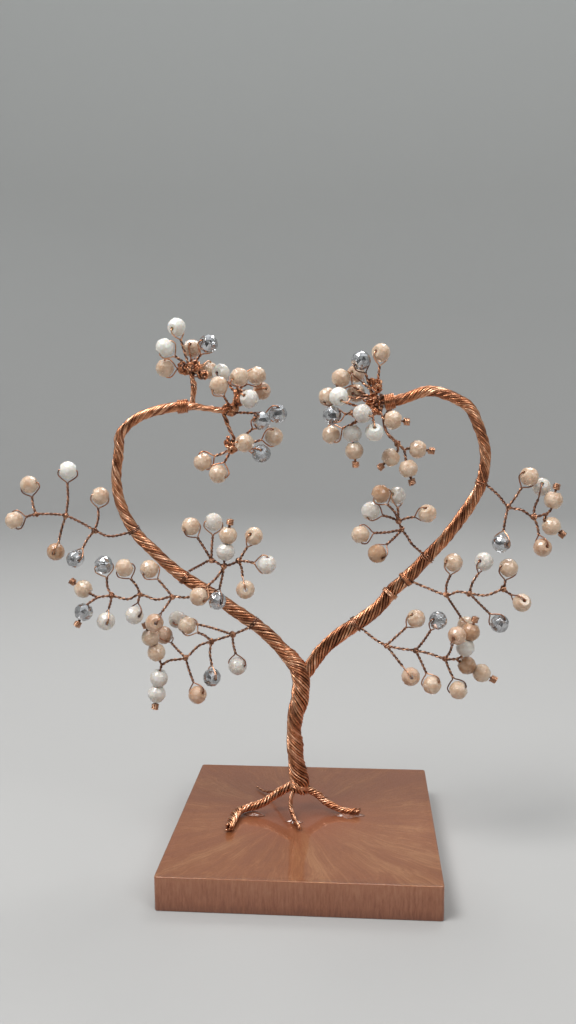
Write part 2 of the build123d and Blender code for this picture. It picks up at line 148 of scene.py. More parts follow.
# ------- sprigs
# twig: points from the limb to the sprig's tip
# root_width: the twig's diameter at the limb, where it isn't a slim one
# knots: which of those points are knots that bead wires leave from
# beads: (colour, knot, bead's centre, turn of the wire's loop about its stem in degrees)
# skewers: (knot, colours of the beads on it, first bead's centre, point that it aims at)
SPRIGS = {
    "top_left_upper": dict(
        twig=[(-33.5, 1, 145.5), (-34.5, 1, 150.5)], root_width=2.2, knots=[1],
        beads=[("white", 1, (-38, -1, 163), 60), ("white", 1, (-41.5, -2, 157), 10),
               ("cream", 1, (-42.5, 2, 151), -15), ("cream", 1, (-34.5, 5, 157), 80),
               ("silver", 1, (-28.5, -1, 158), 40), ("cream", 1, (-30, 8, 150.5), 20)]),
    "top_left_inner": dict(
        twig=[(-22, 1, 137.5), (-20.5, 1, 143.5)], root_width=2.0, knots=[0, 1],
        beads=[("white", 1, (-25.5, 3, 149.5), 70), ("cream", 0, (-25, -5, 145.5), 30),
               ("cream", 1, (-19, -3, 148), 50), ("cream", 1, (-14.5, 3, 148.5), 15),
               ("clear", 1, (-16, -4, 141.5), 80), ("peach", 1, (-13.5, 7.5, 144), 75),
               ("silver", 0, (-8, 2, 137), 35)]),
    "top_left_hanging": dict(
        twig=[(-24.5, 1, 137), (-23, 1, 133), (-21.5, 1, 129.5), (-22, 1, 127)],
        root_width=1.5, knots=[3],
        beads=[("silver", 3, (-12.5, -3, 135), 45), ("cream", 3, (-9.5, 4, 130), 20),
               ("cream", 3, (-17.5, -5, 128.5), 70), ("silver", 3, (-13, 0, 125), 60),
               ("cream", 3, (-31, 0, 122.5), 0), ("cream", 3, (-26, -2, 119), 10)]),
    "left_upper": dict(
        twig=[(-53, 0, 101), (-60.5, 0, 99.5), (-65, -1, 101.5), (-69.5, -1, 104),
              (-74, -1, 106), (-78.5, -1, 106.5), (-83.5, -1, 106.5)],
        knots=[2, 4, 6],
        beads=[("cream", 2, (-63.5, 1, 112), 25), ("silver", 2, (-70.5, -4, 93), 50),
               ("white", 4, (-73.5, 1, 120), 20), ("amber", 4, (-78, 0, 94.5), 85),
               ("cream", 6, (-86, 1, 115.5), 5), ("cream", 6, (-90.5, -1, 104.5), 10)]),
    "left_middle": dict(
        twig=[(-31, 1, 82.5), (-36, -2.5, 81), (-40.5, -4, 81.5), (-45.5, -4, 80.5),
              (-50.5, -4, 82), (-54.5, -4, 80.5), (-59.5, -4, 81.5), (-64, -4, 81)],
        knots=[2, 4, 6],
        beads=[("silver", 6, (-62, -3, 91), 30), ("cream", 4, (-55, -5, 90.5), 15),
               ("cream", 2, (-47.5, -4, 90), 35), ("peach", 2, (-45.5, -7.5, 74), 75),
               ("clear", 4, (-52, -6, 76), 40), ("clear", 6, (-61.5, -4, 73.5), 65)],
        skewers=[(7, ["cream"], (-68.5, -3.5, 83.5), (-72.5, -3, 86)),
                 (7, ["silver"], (-67.5, -7, 77), (-69.5, -8, 73))]),
    "left_inner": dict(
        twig=[(-36, 1, 88.5), (-32, -3, 91), (-28, -5, 93), (-24, -6, 91.5), (-19.5, -6, 93)],
        knots=[2, 3, 4],
        beads=[("cream", 2, (-34, -6, 103.5), 40), ("clear", 2, (-27.5, -3, 104.5), 20),
               ("cream", 4, (-15, -5, 100.5), 60), ("clear", 4, (-11, -6, 92), 15),
               ("cream", 4, (-17.5, -7, 84.5), 80), ("silver", 3, (-26.5, -5, 80.5), 50),
               ("cream", 3, (-31.5, -8.5, 82.5), 30)],
        skewers=[(3, ["clear", "cream"], (-23.5, -6, 95.8), (-22, -6, 105))]),
    "left_lower": dict(
        twig=[(-16.5, 2.5, 71), (-22.5, -1, 69), (-29, -2, 67), (-33, -2, 65.5), (-37, -3, 62),
              (-42, -3, 61), (-44.5, -3, 59.5)],
        knots=[1, 2, 4],
        beads=[("clear", 1, (-21, -1, 59), 20), ("clear", 1, (-41, 5.5, 72), 70),
               ("cream", 2, (-36.5, -2, 72), 30), ("silver", 2, (-29, -2, 55.5), 55),
               ("peach", 4, (-45, 3, 67.5), 80), ("peach", 4, (-33, -5.5, 51), 25)],
        skewers=[(6, ["clear", "clear"], (-45.5, -3, 55.3), (-47, -3, 46)),
                 (6, ["cream", "cream"], (-46, -3.5, 63.7), (-49, -4, 72.3))]),
    "top_right": dict(
        twig=[(24, 2, 140), (21.5, 2, 141), (20.5, 1, 137.5)], root_width=3.2, knots=[1, 2],
        beads=[("cream", 1, (23, 3, 155), 45), ("silver", 1, (17, -2, 152.5), 30),
               ("cream", 1, (15.5, 7.5, 149), 70), ("cream", 1, (11, 1, 147.5), 10),
               ("white", 1, (10.5, -4, 142), 60), ("cream", 2, (7, 4, 142), 35),
               ("cream", 1, (15.5, 4.5, 143), 80), ("silver", 2, (8.5, -2, 136.5), 40),
               ("cream", 2, (8, 4, 130.5), 15), ("clear", 2, (17.5, -5, 137), 65),
               ("white", 2, (21, -4, 131.5), 85)],
        skewers=[(2, ["clear", "cream"], (14.5, 0, 130.9), (15.5, 0, 122)),
                 (1, ["cream"], (26.5, -2, 135), (30.5, -2, 134.5))]),
    "top_right_hanging": dict(
        twig=[(26, 3.2, 138.4), (24, 3.8, 135), (25, 2, 131), (28, 0, 128), (30, 0, 126)],
        root_width=1.5, knots=[3],
        skewers=[(3, ["cream"], (26, 0, 123.8), (23, 0, 121)),
                 (4, ["cream"], (34, 0, 126.2), (38, 0, 125.8)),
                 (4, ["cream"], (31.2, -1.5, 120.5), (32.3, -2, 116.5))]),
    "right_upper": dict(
        twig=[(54, 2, 116), (58, 1, 112.5), (61, 0, 109), (65, 0, 108), (68.5, 0, 106),
              (72.5, 0, 107)],
        knots=[2, 4],
        beads=[("silver", 2, (59, -1, 98), 50), ("cream", 2, (67, 0, 118), 20),
               ("clear", 4, (71.5, 4.5, 114.5), 75), ("peach", 4, (71, -2, 97), 60)],
        skewers=[(5, ["cream"], (74.2, 0, 111), (75, 0, 115)),
                 (5, ["cream"], (73.8, 0, 103.2), (77, 0, 100.8))]),
    "right_inner": dict(
        twig=[(37.5, 3.5, 93), (33, 1, 97), (31, 0, 100), (29.5, 0, 102), (28.5, 0, 104.5)],
        knots=[3, 4],
        beads=[("cream", 3, (17, -1, 100.5), 15), ("amber", 3, (22, -3, 95), 40),
               ("clear", 4, (20, 1, 107.5), 30), ("amber", 4, (23, -2, 113), 10),
               ("clear", 4, (28, 3, 112), 55), ("cream", 4, (37, -1, 107), 35)]),
    "right_middle": dict(
        twig=[(31, 4, 86), (37, 1, 84), (43, 0, 82), (46.5, 0, 83), (50, 0, 82.5),
              (55, 0, 82), (60, 0, 84)],
        knots=[2, 4, 6],
        beads=[("cream", 2, (45, 0, 92), 25), ("cream", 2, (50, 6.5, 71), 75),
               ("clear", 4, (54, -1, 92.5), 50), ("silver", 4, (59, -1, 73.5), 30),
               ("cream", 6, (61.5, 0, 90.5), 15), ("cream", 6, (65.5, -1, 80), 60)]),
    "right_lower": dict(
        twig=[(16, 4, 71.5), (21, 1, 68), (25, 0, 66), (29.5, 0, 65), (34, 0, 64.5),
              (38.5, 0, 63.5), (43, 0, 62), (46.5, 0, 62)],
        knots=[2, 4, 6],
        beads=[("cream", 2, (34, 0, 74.5), 30), ("peach", 2, (32.5, -1, 56.5), 80),
               ("silver", 4, (40.5, -2, 74.5), 45), ("cream", 4, (39, -1, 54), 20),
               ("peach", 6, (46, -4.5, 70.5), 65), ("cream", 6, (47, -1, 52.5), 10)],
        skewers=[(7, ["clear", "amber"], (49, 0, 65.7), (51.8, 0, 74.6)),
                 (7, ["amber", "cream"], (49.8, 2, 59.5), (57.5, 2, 55.5))]),
}

# tangles of wire in the crowded sprigs: centre, reach along X, Y and Z, number of turns
TANGLES = {
    "top_left_upper": [((-34.6, 1, 150.8), (4.0, 2.0, 2.4), 30),
                       ((-31.2, 1, 148.8), (2.6, 1.4, 1.3), 8)],
    "top_left_inner": [((-22.4, 1, 138.6), (2.6, 1.6, 1.8), 14),
                       ((-19.8, 1, 142.2), (1.3, 1.3, 2.8), 14)],
    "top_left_hanging": [((-22.4, 1, 127.6), (2.2, 1.5, 2.8), 18)],
    "top_right": [((20.8, 2, 139.6), (3.2, 2.2, 3.6), 30),
                  ((15.6, 1, 137.0), (2.6, 1.4, 1.5), 9),
                  ((21.3, 1, 145.0), (2.2, 1.4, 2.4), 12)],
}

# the part's glass that each colour of bead belongs to
GLASS_OF_TINT = {"cream": "cream", "peach": "cream", "amber": "cream",
                 "white": "pale", "clear": "pale", "silver": "silver"}

# a bead's outline along its hole: (share of the half length, share of the radius,
# turn in facets); a ring at the hole, the end's rim, a shoulder, and the belt in the middle
BEAD_PROFILE = [(-1.0, 0.20, 0), (-1.0, 0.55, 0), (-0.52, 0.875, 0.5), (0.0, 1.0, 0),
                (0.52, 0.875, 0.5), (1.0, 0.55, 0), (1.0, 0.20, 0)]

# ------- curve and mesh helpers
CURVE_STEPS = 16            # points between two given ones, before a curve is resampled


def vec(*parts):
    """A point or direction as a numpy array."""
    return np.array(parts if len(parts) > 1 else parts[0], dtype=float)


def unit(direction):
    """The same direction with length one."""
    return direction / np.linalg.norm(direction)


def smooth_route(points, step, values=None):
    """A smooth curve through the points: its even points, values there and distances along it."""
    points = np.array(points, dtype=float)
    values = np.zeros(len(points)) if values is None else np.array(values, dtype=float)
    rows = np.column_stack([points, values])
    rows = np.vstack([2 * rows[0] - rows[1], rows, 2 * rows[-1] - rows[-2]])
    fine = []
    for a, b, c, d in zip(rows, rows[1:], rows[2:], rows[3:]):
        for t in np.linspace(0, 1, CURVE_STEPS, endpoint=False):
            fine.append(0.5 * (2 * b + (c - a) * t + (2 * a - 5 * b + 4 * c - d) * t ** 2
                               + (3 * b - a - 3 * c + d) * t ** 3))
    fine.append(rows[-2])
    fine = np.array(fine)
    gaps = np.linalg.norm(np.diff(fine[:, :3], axis=0), axis=1)
    length = np.concatenate([[0], np.cumsum(gaps)])
    count = max(int(round(length[-1] / step)) + 1, 3)
    even = np.linspace(0, length[-1], count)
    route = np.column_stack([np.interp(even, length, fine[:, k]) for k in range(4)])
    return route[:, :3], route[:, 3], even


def route_frames(route):
    """Two side directions at each point of a route, carried along it without twist."""
    tangents = np.gradient(route, axis=0)
    tangents /= np.linalg.norm(tangents, axis=1)[:, None]
    side = np.cross(tangents[0], vec(0, 1, 0))
    if np.linalg.norm(side) < 0.1:      # the route starts along Y
        side = np.cross(tangents[0], vec(1, 0, 0))
    sides = np.empty_like(route)
    for number, tangent in enumerate(tangents):
        side = unit(side - tangent * side.dot(tangent))
        sides[number] = side
    return sides, np.cross(tangents, sides)


def slow_noise(rng, length, wavelength, size):
    """A smooth random function of the distance along a wire."""
    count = max(int(length[-1] / wavelength) + 2, 3)
    knots = [rng.uniform(-size, size) for _ in range(count)]
    return np.interp(length, np.linspace(0, length[-1], count), knots)


def around(side_a, side_b, reach, angle):
    """Offsets from a route's points, each at its own reach and angle in its own frame."""
    return reach[:, None] * (side_a * np.cos(angle)[:, None] + side_b * np.sin(angle)[:, None])


def wall_faces(rows, sides):
    """The faces between closed rings of vertices that follow each other."""
    return [(row * sides + number, row * sides + (number + 1) % sides,
             (row + 1) * sides + (number + 1) % sides, (row + 1) * sides + number)
            for row in range(rows - 1) for number in range(sides)]


class Stock:
    """The vertices and faces of one piece while it is being made, in millimetres."""

    def __init__(self):
        self.blocks = []
        self.faces = []
        self.shades = []
        self.count = 0

    def add(self, vertices, faces, shade=0):
        """Add a block of vertices and its faces, which take one of the piece's materials."""
        self.faces += [[index + self.count for index in face] for face in faces]
        self.shades += [shade] * len(faces)
        self.blocks.append(np.asarray(vertices, dtype=float))
        self.count += len(vertices)

    def tube(self, route, radius, sides=WIRE_SIDES, shade=0):
        """Add a round wire along a route; the radius is one number or one for each point."""
        side_a, side_b = route_frames(route)
        radius = np.broadcast_to(radius, len(route))[:, None]
        rings = []
        for number in range(sides):
            angle = 2 * math.pi * number / sides
            rings.append(route + radius * (side_a * math.cos(angle) + side_b * math.sin(angle)))
        vertices = np.stack(rings, axis=1).reshape(-1, 3)
        faces = wall_faces(len(route), sides)
        faces.append(list(range(sides))[::-1])
        faces.append([(len(route) - 1) * sides + number for number in range(sides)])
        self.add(vertices, faces, shade)

    def piece(self, name, materials, smooth=True):
        """Turn the stock into a mesh object that rides on the body."""
        mesh = bpy.data.meshes.new(name)
        mesh.from_pydata((np.vstack(self.blocks) * MM).tolist(), [], self.faces)
        mesh.polygons.foreach_set("use_smooth", [smooth] * len(mesh.polygons))
        for material in materials:
            mesh.materials.append(material)
        mesh.polygons.foreach_set("material_index", self.shades)
        mesh.update()
        obj = bpy.data.objects.new(name, mesh)
        bpy.context.collection.objects.link(obj)
        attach(obj, BODY)
        return obj


# places in a list of coppers; the last is painted shade, for the core seen between a rope's
# strands
PLAIN, BRIGHT, TARNISH_AND_SHADE, PAINTED_SHADE = range(4)
TURN_WAVE, REACH_WAVE = 6, 3    # how slowly a strand strays round its rope, and in and out
SPLAY_LENGTH = 3.0          # the length of a root's end that opens
UNEVEN_POINTS = 5           # points by which the wires of a cut end differ
INNER_POINTS = 12           # points on a cut end's inner wires
INNER_SPACING = 1.1         # they lie this many diameters apart
CORE_SIDES = 10
PAIR_STEP = 0.2             # distance between the points of a twisted pair
COIL_STEPS = 16             # points on one turn of a coil
LARGEST_TURN = 1.45         # radius of the widest turns in a knot


def strand_shade(rng):
    """Which of the three coppers a wire takes: most are plain, some bright, a few dark."""
    return rng.choice((PLAIN, PLAIN, PLAIN, BRIGHT, BRIGHT, TARNISH_AND_SHADE))


def bundle(stock, points, diameters, strand, pitch, rng, step=0.45, sides=WIRE_SIDES,
           splay=0.0):
    """Add a rope of wires laid left-handed round a route, over a core painted dark as the shade
    between them.
    """
    route, width, length = smooth_route(points, step, diameters)
    side_a, side_b = route_frames(route)
    radius = width / 2
    ring = radius - strand / 2
    lay = math.atan(2 * math.pi * radius.max() / pitch)
    room = 2 * math.pi * ring.max() * math.cos(lay)
    count = max(int(round(room / (strand * STRAND_SPACING))), 4)
    opening = 1 + splay * np.clip((length - length[-1] + SPLAY_LENGTH) / SPLAY_LENGTH, 0, 1) ** 2
    # the strands keep their slant as the rope tapers, so its pitch shortens with its width
    slimness = np.maximum(radius / radius.max(), 0.5)
    turn = -2 * math.pi / pitch * np.cumsum(np.gradient(length) / slimness)
    for number in range(count):
        stray = slow_noise(rng, length, TURN_WAVE, 0.9 / count)
        angle = 2 * math.pi * number / count + turn + stray
        reach = ring + slow_noise(rng, length, REACH_WAVE, STRAND_PLAY) - 0.5 * STRAND_PLAY
        reach = np.minimum(reach, ring + 0.05) * opening
        line = route + around(side_a, side_b, reach, angle)
        last = len(line) - (rng.randrange(0, UNEVEN_POINTS) if splay else 0)
        stock.tube(line[:last], strand / 2 * rng.uniform(0.92, 1.06), sides, strand_shade(rng))
    if splay:
        # the wires inside the rope, which show where its end is cut off
        inner = np.maximum(radius - 1.45 * strand, 0)
        count = max(int(2 * math.pi * inner.max() / (INNER_SPACING * strand)), 1)
        for number in range(count):
            angle = 2 * math.pi * number / count + turn
            line = route + around(side_a, side_b, inner, angle)
            last = len(line) - rng.randrange(0, UNEVEN_POINTS - 1)
            stock.tube(line[last - INNER_POINTS:last], strand / 2, sides, strand_shade(rng))
    # the core is painted dark: painted shade where the gaps between the strands open
    core = np.maximum(radius - 0.85 * strand, 0.05)
    core_end = len(route) - (UNEVEN_POINTS + 1 if splay else 0)
    stock.tube(route[:core_end], core[:core_end], CORE_SIDES, shade=PAINTED_SHADE)


def twisted_pair(stock, points, rng, pitch):
    """Add two wires twisted round each other along a route, the second one darkened as painted
    shade between the twist's turns.
    """
    route, _, length = smooth_route(points, PAIR_STEP)
    side_a, side_b = route_frames(route)
    phase = rng.uniform(0, 2 * math.pi)
    wobble = slow_noise(rng, length, 1.5, 0.35)
    reach = np.full(len(route), 0.49 * PAIR_WIRE)
    # the second wire takes the darkest copper: painted shade along the twist
    for start, shade in ((0, rng.choice((PLAIN, BRIGHT))), (math.pi, TARNISH_AND_SHADE)):
        angle = phase + start - 2 * math.pi * length / pitch + wobble
        stock.tube(route + around(side_a, side_b, reach, angle), PAIR_WIRE / 2, shade=shade)


def helix(stock, centre, axis, radius, turns, rise, rng, wire=WIRE, wander=0.05, shade=PLAIN):
    """Add a small coil of wire about an axis."""
    axis = unit(vec(axis))
    side = unit(np.cross(axis, vec(0.3, 1, 0.2)))
    other = np.cross(axis, side)
    count = int(turns * COIL_STEPS) + 1
    angle = np.linspace(0, -2 * math.pi * turns, count) + rng.uniform(0, 6)
    reach = radius + np.array([rng.uniform(-wander, wander) for _ in range(count)])
    height = np.linspace(-rise / 2, rise / 2, count)
    line = vec(centre) + around(side, other, reach, angle) + axis * height[:, None]
    stock.tube(line, wire / 2, shade=shade)


def nest(stock, centre, reach, wraps, rng, wire=WIRE):
    """Add a knot: short turns of wire wound over each other in all directions."""
    reach = vec(reach)
    for _ in range(wraps):
        axis = vec(rng.gauss(0, 1), rng.gauss(0, 1), rng.gauss(0, 1))
        radius = min(reach.min(), LARGEST_TURN) * rng.uniform(0.5, 1.0)
        offset = vec([rng.uniform(-1, 1) for _ in range(3)]) * np.maximum(reach - radius, 0.2)
        helix(stock, vec(centre) + offset, axis, radius, rng.uniform(1.1, 1.9),
              rng.uniform(0.3, 0.9), rng, wire, wander=0.04, shade=strand_shade(rng))


def hole_axis(stem, turn):
    """The direction of a bead's hole: square to its stem, turned about it by so many degrees."""
    flat = unit(np.cross(stem, vec(0, 1, 0)))
    towards_viewer = unit(np.cross(stem, flat))
    return flat * math.cos(math.radians(turn)) + towards_viewer * math.sin(math.radians(turn))


# ------- materials
class Nodes:
    """A material's node tree, with short calls for the nodes that repeat."""

    def __init__(self, name):
        self.material = bpy.data.materials.new(name)
        self.material.use_nodes = True
        self.tree = self.material.node_tree
        self.shader = self.tree.nodes["Principled BSDF"]
        self.place = self.new("ShaderNodeTexCoord").outputs["Object"]

    def new(self, kind, **settings):
        node = self.tree.nodes.new(kind)
        for key, value in settings.items():
            setattr(node, key, value)
        return node

    def link(self, source, target):
        self.tree.links.new(source, target)

    def calculate(self, operation, *inputs):
        """A Math node's result; its inputs are sockets or numbers."""
        node = self.new("ShaderNodeMath", operation=operation)
        for socket, value in zip(node.inputs, inputs):
            if isinstance(value, (int, float)):
                socket.default_value = value
            else:
                self.link(value, socket)
        return node.outputs["Value"]

    def scaled(self, vector, factors):
        """A vector with each of its parts multiplied."""
        node = self.new("ShaderNodeVectorMath", operation="MULTIPLY")
        self.link(vector, node.inputs[0])
        node.inputs[1].default_value = factors
        return node.outputs["Vector"]

    def parts(self, vector):
        """The X, Y and Z of a vector."""
        node = self.new("ShaderNodeSeparateXYZ")
        self.link(vector, node.inputs["Vector"])
        return node.outputs

    def mix(self, factor, first, second):
        """Two colours, the second one shown where the factor is 1."""
        node = self.new("ShaderNodeMix", data_type="RGBA")
        self.link(factor, node.inputs[0])
        for socket, colour in ((node.inputs[6], first), (node.inputs[7], second)):
            if isinstance(colour, tuple):
                socket.default_value = colour
            else:
                self.link(colour, socket)
        return node.outputs[2]

    def noise(self, scale, detail=3.0, roughness=0.5, place=None):
        """A noise pattern; the scale is in features per metre."""
        node = self.new("ShaderNodeTexNoise")
        node.inputs["Scale"].default_value = scale
        node.inputs["Detail"].default_value = detail
        node.inputs["Roughness"].default_value = roughness
        self.link(self.place if place is None else place, node.inputs["Vector"])
        return node.outputs["Fac"]

    def ramp(self, factor, stops):
        """A colour ramp with (position, colour) stops."""
        node = self.new("ShaderNodeValToRGB")
        elements = node.color_ramp.elements
        while len(elements) < len(stops):
            elements.new(0.5)
        for element, (position, colour) in zip(elements, stops):
            element.position = position
            element.color = (*colour, 1.0)
        self.link(factor, node.inputs["Fac"])
        return node.outputs["Color"]

    def spread(self, factor, low, high, start=0.3, stop=0.7, kind="LINEAR"):
        """Map a pattern, which mostly lies between start and stop, on to a range of numbers."""
        node = self.new("ShaderNodeMapRange", interpolation_type=kind)
        for name, value in (("From Min", start), ("From Max", stop), ("To Min", low),
                            ("To Max", high)):
            node.inputs[name].default_value = value
        self.link(factor, node.inputs["Value"])
        return node.outputs["Result"]

    def bump(self, height, distance, strength):
        """Raise the surface by a pattern, by so many metres."""
        node = self.new("ShaderNodeBump")
        node.inputs["Distance"].default_value = distance
        node.inputs["Strength"].default_value = strength
        self.link(height, node.inputs["Height"])
        self.link(node.outputs["Normal"], self.shader.inputs["Normal"])

    def set(self, **values):
        """Set constants on the shader's own sockets, with _ for a space in a socket's name."""
        for name, value in values.items():
            self.shader.inputs[name.replace("_", " ")].default_value = value

    def drive(self, socket, source):
        """Let a pattern drive one of the shader's sockets."""
        self.link(source, self.shader.inputs[socket])


def copper_material(name, bright, mid, dark):
    """Drawn copper wire: satin, brighter and duller in patches, darker where it is tarnished."""
    nodes = Nodes(name)
    patches = nodes.noise(420, 4, 0.6)
    nodes.drive("Base Color", nodes.ramp(patches, [(0.3, dark), (0.5, mid), (0.68, bright)]))
    nodes.drive("Roughness", nodes.spread(nodes.noise(900, 2), 0.25, 0.40))
    nodes.bump(nodes.noise(3000, 2), 0.00002, 0.15)
    nodes.set(Metallic=1.0)
    return nodes.material


def glass_bead_material(name, light, deep, transmission):
    """Opal glass: milky light inside, a pearly coat, warmer where the colour is deeper."""
    nodes = Nodes(name)
    cloud = nodes.noise(420, 3, 0.5)
    nodes.drive("Base Color", nodes.ramp(cloud, [(0.36, deep), (0.62, light)]))
    nodes.drive("Roughness", nodes.spread(nodes.noise(700, 2), 0.14, 0.3))
    nodes.set(Transmission_Weight=transmission, IOR=1.45, Coat_Weight=0.35, Coat_Roughness=0.08,
              Subsurface_Weight=0.5, Subsurface_Scale=0.002, Subsurface_Radius=(1.0, 0.75, 0.55))
    nodes.bump(nodes.noise(1500, 2), 0.00004, 0.2)
    return nodes.material


def crystal_material():
    """Clear crystal with a silver coat on part of its facets."""
    nodes = Nodes("silver_crystal")
    coat = nodes.noise(330, 1, 0.4)
    nodes.drive("Base Color", nodes.ramp(coat, [(0.42, (0.78, 0.79, 0.80)),
                                                (0.5, (0.50, 0.50, 0.51)),
                                                (0.6, (0.66, 0.66, 0.67))]))
    nodes.drive("Metallic", nodes.spread(coat, 0.0, 1.0))
    nodes.drive("Roughness", nodes.spread(nodes.noise(500, 2), 0.02, 0.08))
    nodes.set(Transmission_Weight=0.85, IOR=1.6)
    return nodes.material


def mica_top(nodes):
    """The slab's top: its mica's colour with painted shade round the tree's foot, and the pattern
    of the widest streaks.

    The streaks are noise read by the direction from the tree's foot, so they run outwards.
    """
    shift = nodes.new("ShaderNodeMapping")
    shift.inputs["Location"].default_value = (0.003, -0.002, 0)
    nodes.link(nodes.place, shift.inputs["Vector"])
    flat = nodes.scaled(shift.outputs["Vector"], (1, 1, 0))
    direction = nodes.new("ShaderNodeVectorMath", operation="NORMALIZE")
    nodes.link(flat, direction.inputs[0])
    distance = nodes.new("ShaderNodeVectorMath", operation="LENGTH")
    nodes.link(flat, distance.inputs[0])
    warp = nodes.new("ShaderNodeTexNoise")
    warp.inputs["Scale"].default_value = 45
    nodes.link(flat, warp.inputs["Vector"])
    bent = nodes.new("ShaderNodeVectorMath", operation="MULTIPLY_ADD")
    nodes.link(warp.outputs["Color"], bent.inputs[0])
    bent.inputs[1].default_value = (0.2, 0.2, 0.2)
    nodes.link(direction.outputs["Vector"], bent.inputs[2])

    streaks = nodes.noise(6, 5, 0.6, bent.outputs["Vector"])
    hairs = nodes.noise(60, 3, 0.6, bent.outputs["Vector"])
    clouds = nodes.noise(38, 3, 0.5, flat)
    mica = nodes.calculate("MULTIPLY_ADD", clouds, 0.4,
                      nodes.calculate("MULTIPLY_ADD", hairs, 0.6, streaks))
    # the top is lighter towards the front; round the tree's foot it is darkened with painted
    # shade
    to_front = nodes.spread(nodes.parts(nodes.place)["Y"], 0.04, -0.10, -0.03, 0.03)
    mica = nodes.spread(nodes.calculate("ADD", mica, to_front), 0, 1, 0.78, 1.28)
    colour = nodes.ramp(mica, [(0.1, (0.185, 0.056, 0.019)), (0.5, (0.225, 0.078, 0.028)),
                               (0.92, (0.315, 0.135, 0.058))])
    # painted shade under the tree: the top turns to this darker colour round the trunk's foot
    foot = nodes.spread(distance.outputs["Value"], 0.8, 0.0, 0.004, 0.03, "SMOOTHSTEP")
    return nodes.mix(foot, colour, (0.22, 0.062, 0.024, 1)), streaks


def mica_side(nodes):
    """The slab's cut sides, with the mica on edge: an upright grain, and painted light and shade
    that make them lighter near the top and darker to the bottom.
    """
    grain = nodes.noise(1300, 5, 0.7, nodes.scaled(nodes.place, (1, 1, 0.16)))
    # painted light and shade on the sides: lighter near the top, darker to the bottom
    level = nodes.spread(nodes.parts(nodes.place)["Z"], -0.14, 0.06, 0, 0.008)
    return nodes.ramp(nodes.calculate("ADD", grain, level),
                      [(0.25, (0.20, 0.062, 0.028)), (0.5, (0.29, 0.105, 0.050)),
                       (0.75, (0.37, 0.160, 0.085))])


def slab_material():
    """Glossy resin over copper mica, which lies in pearly streaks round the tree's foot."""
    nodes = Nodes("mica_resin")
    top, streaks = mica_top(nodes)
    normal = nodes.new("ShaderNodeNewGeometry").outputs["Normal"]
    faces_up = nodes.calculate("GREATER_THAN", nodes.parts(normal)["Z"], 0.5)
    nodes.drive("Base Color", nodes.mix(faces_up, mica_side(nodes), top))
    nodes.drive("Roughness", nodes.spread(nodes.noise(2500, 2), 0.28, 0.5))
    nodes.drive("Metallic", nodes.spread(streaks, 0.1, 0.35))
    nodes.bump(nodes.noise(90, 2), 0.0002, 0.2)
    nodes.set(Coat_Weight=0.7, Coat_Roughness=0.03, Coat_IOR=1.5)
    return nodes.material


def glue_material():
    """Glossy drops of resin that take the slab's own colour, with faint ripples."""
    nodes = Nodes("clear_glue")
    nodes.drive("Base Color", nodes.ramp(nodes.noise(300, 2), [(0.3, (0.15, 0.055, 0.03)),
                                                               (0.7, (0.27, 0.12, 0.075))]))
    nodes.drive("Roughness", nodes.spread(nodes.noise(400, 2), 0.02, 0.1))
    nodes.set(IOR=1.45, Coat_Weight=0.5, Coat_Roughness=0.02)
    nodes.bump(nodes.noise(700, 3), 0.0005, 0.5)
    return nodes.material


def floor_material():
    """Plain pale studio sweep, with painted light that makes it a little paler up the wall."""
    nodes = Nodes("studio_floor")
    height = nodes.parts(nodes.place)["Z"]
    # painted light: the sweep is paler the higher it rises
    nodes.drive("Base Color", nodes.ramp(height, [(0.0, (0.345, 0.338, 0.330)),
                                                  (0.4, (0.42, 0.42, 0.410)),
                                                  (1.0, (0.53, 0.535, 0.520))]))
    nodes.set(Roughness=0.8)
    return nodes.material


def flag_material():
    """Dark card, for the studio's flag."""
    nodes = Nodes("studio_flag")
    nodes.drive("Base Color", nodes.ramp(nodes.noise(5, 2), [(0.3, (0.05, 0.05, 0.05)),
                                                             (0.7, (0.07, 0.07, 0.07))]))
    nodes.set(Roughness=0.9)
    return nodes.material


# the coppers of a rope, by place: plain, bright, tarnished, and painted shade for the core
# between strands; a twisted pair's second wire takes the tarnished one as painted shade
COPPERS = [
    copper_material("copper_plain", (0.72, 0.36, 0.21), (0.56, 0.24, 0.12), (0.32, 0.12, 0.06)),
    copper_material("copper_bright", (0.90, 0.56, 0.38), (0.74, 0.40, 0.24), (0.48, 0.22, 0.11)),
    copper_material("copper_tarnish_and_shade", (0.46, 0.21, 0.12), (0.32, 0.13, 0.07),
                    (0.17, 0.065, 0.035)),
    copper_material("copper_painted_shade", (0.10, 0.036, 0.018), (0.07, 0.025, 0.012),
                    (0.04, 0.015, 0.008)),
]
